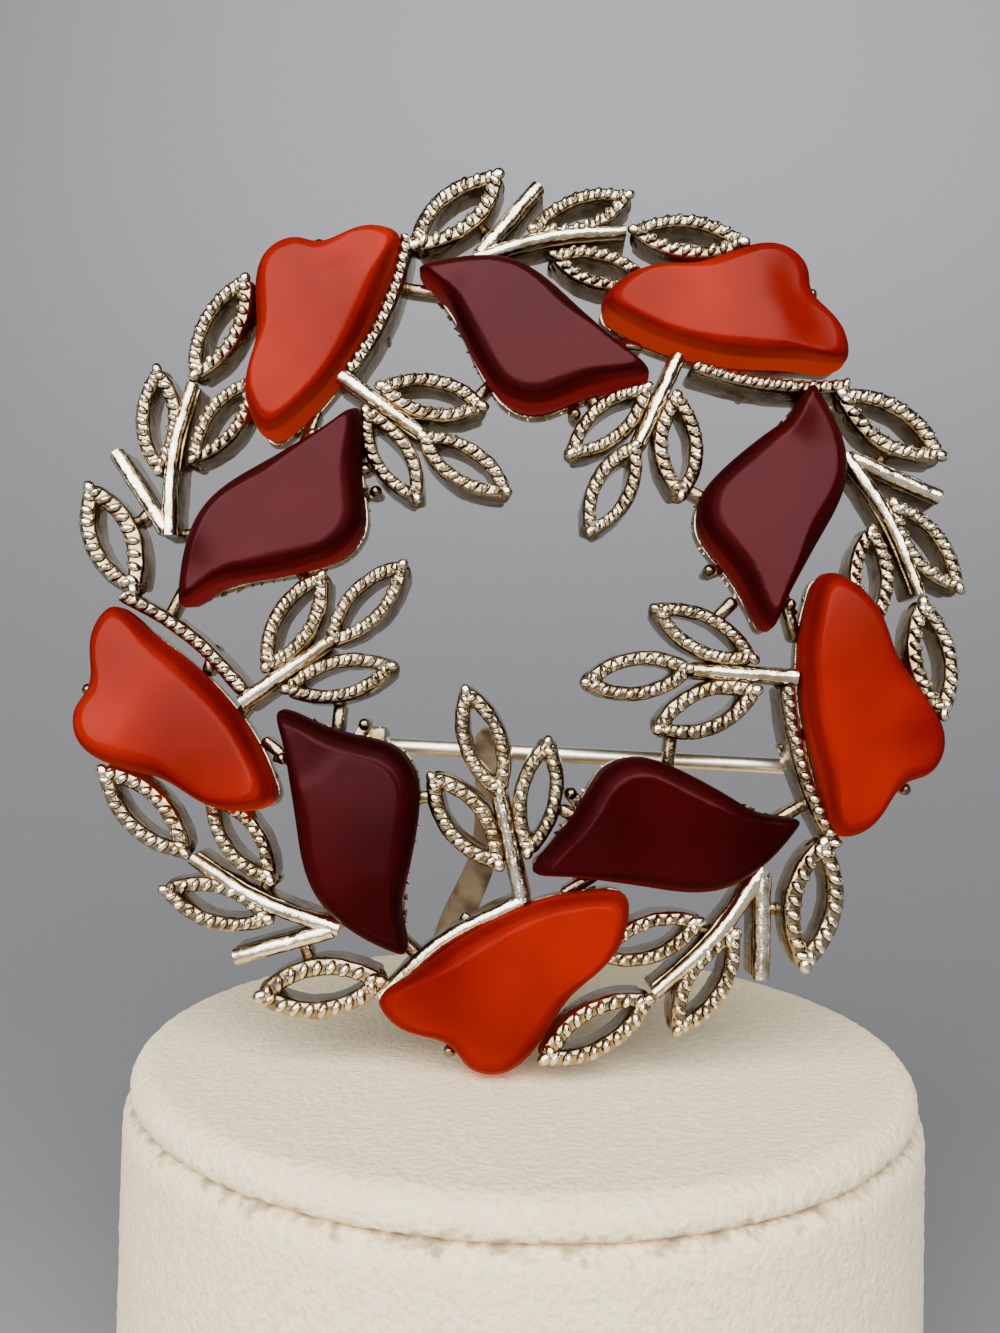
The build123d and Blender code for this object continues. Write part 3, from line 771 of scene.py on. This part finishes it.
def stone(kind, number, place, dents):
    """One moulded stone with the dents of its mould."""
    node = f"{kind}_leaf_{number + 1}"
    piece = soft_copy(node, node + "_moulded", STONE_CELL, STONE_SMOOTHING)
    for dent in dents:
        pressed(piece, place, dent)
    mark_slope(piece, place)
    return piece


def flocked(node, name, cell, grain):
    """A soft copy with the slight unevenness of flock."""
    return uneven(soft_copy(node, name, cell, FLOCK_SMOOTHING), grain, FLOCK_RELIEF)


# Materials, with colours as linear red, green and blue
BLACK, WHITE = (0, 0, 0), (1, 1, 1)
RIM_GOLD = (1.0, 0.91, 0.72)
# Painted shade on the gilt with depth: browner walls, darkest openings, a darker gilt on the trays
WALL_SHADE_BROWN = (0.44, 0.35, 0.22)
OPENING_SHADE_BROWN = (0.26, 0.2, 0.12)
TRAY_SHADE_GOLD = (0.5, 0.4, 0.26)
# Painted shade at the sides of the rope's strands
STRAND_SHADE_BROWN = (0.17, 0.12, 0.08)
TARNISH = (0.56, 0.48, 0.37)
CLEAN_GILT = (1, 0.98, 0.94)
WORN_WIRE = (0.84, 0.74, 0.55)
BRIGHT_WIRE = (1.0, 0.93, 0.78)
SHOULDER_SHADE = (0.62, 0.55, 0.55)
SIDE_SHADE = (0.5, 0.45, 0.45)
FOOT_SHADE = (0.9, 0.9, 0.9)
FLOCK_SHADE = (0.88, 0.68, 0.39)
FLOCK_CREAM = (1.0, 0.85, 0.54)
# Painted shade in dark spots along the groove between pad and base
GROOVE_SHADE_FLOCK = (0.5, 0.45, 0.39)
STRIP_BROWN = (0.10, 0.065, 0.035)
STRIP_TAN = (0.30, 0.22, 0.13)
FLOOR_GREY = (0.205, 0.205, 0.216)

# through is the colour of a painted glow on the stones' lower faces
Plastic = namedtuple("Plastic", "name dark light scatter shine through")
ORANGE_PLASTIC = Plastic(
    "orange_plastic", dark=(0.14, 0.0016, 0.0002), light=(0.26, 0.0055, 0.0004),
    scatter=(1.0, 0.2, 0.05), shine=(1, 0.36, 0.26), through=(0.34, 0.022, 0.001))
WINE_PLASTIC = Plastic(
    "wine_plastic", dark=(0.014, 0.0002, 0.0004), light=(0.032, 0.0006, 0.0009),
    scatter=(1.0, 0.12, 0.12), shine=(0.9, 0.31, 0.35), through=(0.14, 0.006, 0.005))


def grey(level):
    """A plain value as a ramp's colour."""
    return (level, level, level)


def new_material(name, color, metallic, roughness):
    """A plain material and its shader."""
    material = bpy.data.materials.new(name)
    material.use_nodes = True
    shader = material.node_tree.nodes["Principled BSDF"]
    shader.inputs["Base Color"].default_value = (*color, 1)
    shader.inputs["Metallic"].default_value = metallic
    shader.inputs["Roughness"].default_value = roughness
    return material, shader


def noise(nodes, links, scale, detail=3.0):
    """A noise pattern on the piece's own coordinates; its grain is about one over the scale, in metres."""
    place = nodes.new("ShaderNodeTexCoord")
    grain = nodes.new("ShaderNodeTexNoise")
    grain.inputs["Scale"].default_value = scale
    grain.inputs["Detail"].default_value = detail
    links.new(place.outputs["Object"], grain.inputs["Vector"])
    return grain


def ramp_on(nodes, links, source, stops):
    """A colour ramp with these (position, colour) stops on a value."""
    ramp = nodes.new("ShaderNodeValToRGB")
    while len(ramp.color_ramp.elements) < len(stops):
        ramp.color_ramp.elements.new(0.5)
    for element, (position, color) in zip(ramp.color_ramp.elements, stops):
        element.position = position
        element.color = (*color, 1)
    links.new(source, ramp.inputs["Fac"])
    return ramp.outputs["Color"]


def bump_on(nodes, links, shader, height, strength, distance):
    """Fine relief in the shading; its distance is in millimetres."""
    bump = nodes.new("ShaderNodeBump")
    bump.inputs["Strength"].default_value = strength
    bump.inputs["Distance"].default_value = distance * MM
    links.new(height, bump.inputs["Height"])
    links.new(bump.outputs["Normal"], shader.inputs["Normal"])


def value_of(nodes, name):
    """The value that a piece's points keep under a name."""
    reader = nodes.new("ShaderNodeAttribute")
    reader.attribute_name = name
    return reader.outputs["Fac"]


def times(nodes, links, first, second):
    """Two colours multiplied."""
    mix = nodes.new("ShaderNodeMix")
    mix.data_type = "RGBA"
    mix.blend_type = "MULTIPLY"
    mix.inputs["Factor"].default_value = 1.0
    links.new(first, mix.inputs["A"])
    links.new(second, mix.inputs["B"])
    return mix.outputs["Result"]


def gilt_metal():
    """Pale gilt, with painted shade: brown down in the openings and at the sides of the rope's strands,
    where they meet.
    """
    material, shader = new_material("pale_gilt", (0.9, 0.84, 0.70), metallic=1.0, roughness=0.2)
    nodes, links = material.node_tree.nodes, material.node_tree.links
    # Painted shade: the gilt browns with depth down the walls and into the openings
    deep = ramp_on(nodes, links, value_of(nodes, "recess"), [
        (0.05, RIM_GOLD), (0.12, WALL_SHADE_BROWN), (0.4, OPENING_SHADE_BROWN), (0.97, TRAY_SHADE_GOLD)])
    # Painted shade at the sides of the rope's strands
    painted_strand_shade = ramp_on(nodes, links, value_of(nodes, "bead_side_shade"), [(0.42, WHITE), (0.85, STRAND_SHADE_BROWN)])
    stains = noise(nodes, links, scale=700, detail=2.0)
    tarnish = ramp_on(nodes, links, stains.outputs["Fac"], [(0.34, TARNISH), (0.52, CLEAN_GILT)])
    shade = times(nodes, links, deep, tarnish)
    links.new(times(nodes, links, shade, painted_strand_shade), shader.inputs["Base Color"])
    cast = noise(nodes, links, scale=1500, detail=4.0)
    mottled_level = nodes.new("ShaderNodeMapRange")
    mottled_level.inputs["To Min"].default_value = 0.05
    mottled_level.inputs["To Max"].default_value = 0.3
    links.new(cast.outputs["Fac"], mottled_level.inputs["Value"])
    links.new(mottled_level.outputs["Result"], shader.inputs["Roughness"])
    bump_on(nodes, links, shader, cast.outputs["Fac"], strength=0.8, distance=0.12)
    return material


def wire_metal():
    """Smooth drawn wire with fine wear."""
    material, shader = new_material("gilt_wire", (0.88, 0.80, 0.63), metallic=1.0, roughness=0.34)
    nodes, links = material.node_tree.nodes, material.node_tree.links
    wear = noise(nodes, links, scale=1800)
    tint = ramp_on(nodes, links, wear.outputs["Fac"], [(0.3, WORN_WIRE), (0.6, BRIGHT_WIRE)])
    links.new(tint, shader.inputs["Base Color"])
    bump_on(nodes, links, shader, wear.outputs["Fac"], strength=0.25, distance=0.02)
    return material


def stone_plastic(plastic):
    """Translucent moulded plastic, duller on its shoulders, with painted shade on its shoulders and sides,
    and a painted glow on its lower faces as if lit through from above.
    """
    material, shader = new_material(plastic.name, plastic.light, metallic=0.0, roughness=0.2)
    nodes, links = material.node_tree.nodes, material.node_tree.links
    cloud = noise(nodes, links, scale=110, detail=2.0)
    tint = ramp_on(nodes, links, cloud.outputs["Fac"], [(0.36, plastic.dark), (0.64, plastic.light)])
    slope = value_of(nodes, "slope")
    frost = ramp_on(nodes, links, slope, [(0.01, grey(0.2)), (0.1, grey(0.6))])
    links.new(frost, shader.inputs["Roughness"])
    polish = ramp_on(nodes, links, slope, [(0.01, grey(0.22)), (0.08, grey(0.07))])
    shader.inputs["Specular IOR Level"].default_value = 0.1
    links.new(polish, shader.inputs["Specular IOR Level"])
    # Painted shade on the stones' shoulders and sides
    shade = ramp_on(nodes, links, slope, [
        (0.02, WHITE), (0.22, SHOULDER_SHADE), (0.6, SIDE_SHADE), (0.95, FOOT_SHADE)])
    links.new(times(nodes, links, tint, shade), shader.inputs["Base Color"])
    # A painted glow on the downward faces, as if lit through from above
    painted_glow = ramp_on(nodes, links, value_of(nodes, "underside_glow"), [(0.1, BLACK), (0.8, WHITE)])
    links.new(painted_glow, shader.inputs["Emission Strength"])
    shader.inputs["Emission Color"].default_value = (*plastic.through, 1)
    shader.inputs["IOR"].default_value = 1.48
    shader.inputs["Specular Tint"].default_value = (*plastic.shine, 1)
    shader.inputs["Subsurface Weight"].default_value = 0.6
    shader.inputs["Subsurface Radius"].default_value = plastic.scatter
    shader.inputs["Subsurface Scale"].default_value = 0.8 * MM
    waves = noise(nodes, links, scale=420, detail=1.0)
    bump_on(nodes, links, shader, waves.outputs["Fac"], strength=0.2, distance=0.06)
    return material


def groove_distance(nodes, links):
    """How far a place lies above or below the groove between pad and base, in metres."""
    place = nodes.new("ShaderNodeTexCoord")
    height = nodes.new("ShaderNodeSeparateXYZ")
    links.new(place.outputs["Object"], height.inputs[0])
    above = nodes.new("ShaderNodeMath")
    above.operation = "SUBTRACT"
    above.inputs[1].default_value = GROOVE_LEVEL * MM
    links.new(height.outputs["Z"], above.inputs[0])
    apart = nodes.new("ShaderNodeMath")
    apart.operation = "ABSOLUTE"
    links.new(above.outputs[0], apart.inputs[0])
    return apart.outputs[0]


def flock():
    """Cream flock: a matt, faintly mottled nap, with painted shade in dark spots along the groove."""
    material, shader = new_material("flocked_cream", (0.78, 0.71, 0.58), metallic=0.0, roughness=0.95)
    nodes, links = material.node_tree.nodes, material.node_tree.links
    nap = noise(nodes, links, scale=2600, detail=5.0)
    tint = ramp_on(nodes, links, nap.outputs["Fac"], [(0.3, FLOCK_SHADE), (0.62, FLOCK_CREAM)])
    # Painted shade in dark spots along the groove between pad and base, broken up by noise
    groove = nodes.new("ShaderNodeMapRange")
    groove.inputs["From Max"].default_value = GROOVE_REACH * MM
    groove.inputs["To Min"].default_value = -0.16
    groove.inputs["To Max"].default_value = 0.3
    links.new(groove_distance(nodes, links), groove.inputs["Value"])
    mottled_level = nodes.new("ShaderNodeMath")
    links.new(noise(nodes, links, scale=1100, detail=4.0).outputs["Fac"], mottled_level.inputs[0])
    links.new(groove.outputs["Result"], mottled_level.inputs[1])
    groove_shade = ramp_on(nodes, links, mottled_level.outputs[0], [(0.28, GROOVE_SHADE_FLOCK), (0.46, WHITE)])
    links.new(times(nodes, links, tint, groove_shade), shader.inputs["Base Color"])
    shader.inputs["Sheen Weight"].default_value = 0.15
    bump_on(nodes, links, shader, nap.outputs["Fac"], strength=0.9, distance=0.2)
    return material


def strip_plastic():
    """Tan strip, mottled with brown."""
    material, shader = new_material("tan_plastic", (0.45, 0.36, 0.24), metallic=0.0, roughness=0.45)
    nodes, links = material.node_tree.nodes, material.node_tree.links
    mottle = noise(nodes, links, scale=520, detail=4.0)
    tint = ramp_on(nodes, links, mottle.outputs["Fac"], [(0.4, STRIP_BROWN), (0.6, STRIP_TAN)])
    links.new(tint, shader.inputs["Base Color"])
    bump_on(nodes, links, shader, mottle.outputs["Fac"], strength=0.4, distance=0.05)
    return material


def dress(piece, material, nodes):
    """Gives a piece its finish, its body and the solids that it stands for."""
    piece.data.materials.clear()
    piece.data.materials.append(material)
    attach(piece, "body")
    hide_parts(*nodes)


def set_stone(number, seat, setting, plastic, metal):
    """One stone of a unit on its tray."""
    kind = setting.kind
    place = unit_place(number, seat, setting.middle)
    plate = tray(f"{kind}_tray_{number + 1}", setting, place)
    smooth(plate)
    dress(plate, metal, ["frame"])
    moulded = stone(kind, number, place, setting.dents)
    dress(moulded, plastic, [f"{kind}_leaf_{number + 1}"])


gilt = gilt_metal()
wire_gilt = wire_metal()
orange = stone_plastic(ORANGE_PLASTIC)
wine = stone_plastic(WINE_PLASTIC)
cream = flock()
tan_plastic = strip_plastic()

leaf_shape = leaf_model(NOMINAL_LEAF)
for number, unit in enumerate(UNITS):
    casting = unit_casting(number, unit, leaf_shape)
    smooth(casting)
    dress(casting, gilt, ["frame"])
    set_stone(number, unit.orange, ORANGE_SETTING, orange, gilt)
    set_stone(number, unit.wine, WINE_SETTING, wine, gilt)
bpy.data.objects.remove(leaf_shape)

for fitting in (pin_hinge(), pin_catch()):
    # One even level of painted shade on the fittings
    mark_shade_depth(fitting, FITTING_SHADE_LEVEL)
    smooth(fitting)
    dress(fitting, gilt, ["frame"])

pad = flocked("stand_pad", "flocked_pad", PAD_CELL, PAD_GRAIN)
dress(pad, cream, ["stand_pad"])
base = flocked("stand_base", "flocked_base", BASE_CELL, BASE_GRAIN)
dress(base, cream, ["stand_base"])
for material_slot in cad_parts["prop_strip"].material_slots:
    material_slot.material = tan_plastic
for material_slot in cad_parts["pin_stem"].material_slots:
    material_slot.material = wire_gilt


# Stage: a pale floor that curves up behind, and soft lights; the floor's size is in metres
FLOOR_SIZE = 1.6
FLOOR_CURVE = 0.45 * FLOOR_SIZE
FLOOR_CURVE_STEPS = 32
AIR_COLOR = (0.9, 0.93, 1.0)
AIR_BRIGHTNESS = 0.03
SIDE_AIM = (0, 0, 48)
Softbox = namedtuple("Softbox", "name place size brightness aim roll")
SOFTBOXES = [
    Softbox("front_softbox", (-92, -304, 302), (655, 436), 8.0, (-92, 0, 250), 0),
    Softbox("low_softbox", (-95, -304, -5), (110, 110), 7.6, (-95, 0, -5), 26),
    Softbox("left_softbox", (-340, 60, 140), (60, 220), 1.5, SIDE_AIM, 0),
    Softbox("right_softbox", (340, 60, 140), (60, 220), 2.5, SIDE_AIM, 0),
    Softbox("back_softbox", (120, 300, 700), (1100, 200), 13.0, (120, 1250, 390), 0),
]


def add_floor():
    bpy.ops.mesh.primitive_plane_add(size=FLOOR_SIZE, location=(0, 0, 0))
    floor = named(bpy.context.object, "studio_floor")
    edit_all(floor)
    bpy.ops.mesh.select_all(action="DESELECT")
    leave_edit()
    for edge in floor.data.edges:
        ends = [floor.data.vertices[index].co.y for index in edge.vertices]
        edge.select = min(ends) > 0
    pick(floor)
    bpy.ops.object.mode_set(mode="EDIT")
    bpy.ops.mesh.extrude_region_move(TRANSFORM_OT_translate={"value": (0, 0, FLOOR_SIZE)})
    leave_edit()
    finish_with(floor, "BEVEL", width=FLOOR_CURVE, segments=FLOOR_CURVE_STEPS, limit_method="ANGLE")
    smooth(floor, angle=60)
    material, _ = new_material("pale_floor", FLOOR_GREY, metallic=0.0, roughness=0.9)
    floor.data.materials.append(material)


def add_softbox(box):
    """A soft box of even brightness, turned about its own aim by its roll angle."""
    data = bpy.data.lights.new(box.name, "AREA")
    data.shape = "RECTANGLE"
    data.size, data.size_y = [side * MM for side in box.size]
    data.energy = box.brightness * pi * data.size * data.size_y
    light = bpy.data.objects.new(box.name, data)
    aim = (Vector(box.aim) - Vector(box.place)).to_track_quat("-Z", "Y").to_matrix().to_4x4()
    light.matrix_world = shift(*box.place) @ aim @ turn(box.roll)
    bpy.context.collection.objects.link(light)


def add_air():
    """The faint, even light of the room."""
    world = bpy.data.worlds.new("studio_air")
    world.use_nodes = True
    background = world.node_tree.nodes["Background"]
    background.inputs["Color"].default_value = (*AIR_COLOR, 1)
    background.inputs["Strength"].default_value = AIR_BRIGHTNESS
    bpy.context.scene.world = world


add_floor()
add_air()
for box in SOFTBOXES:
    add_softbox(box)
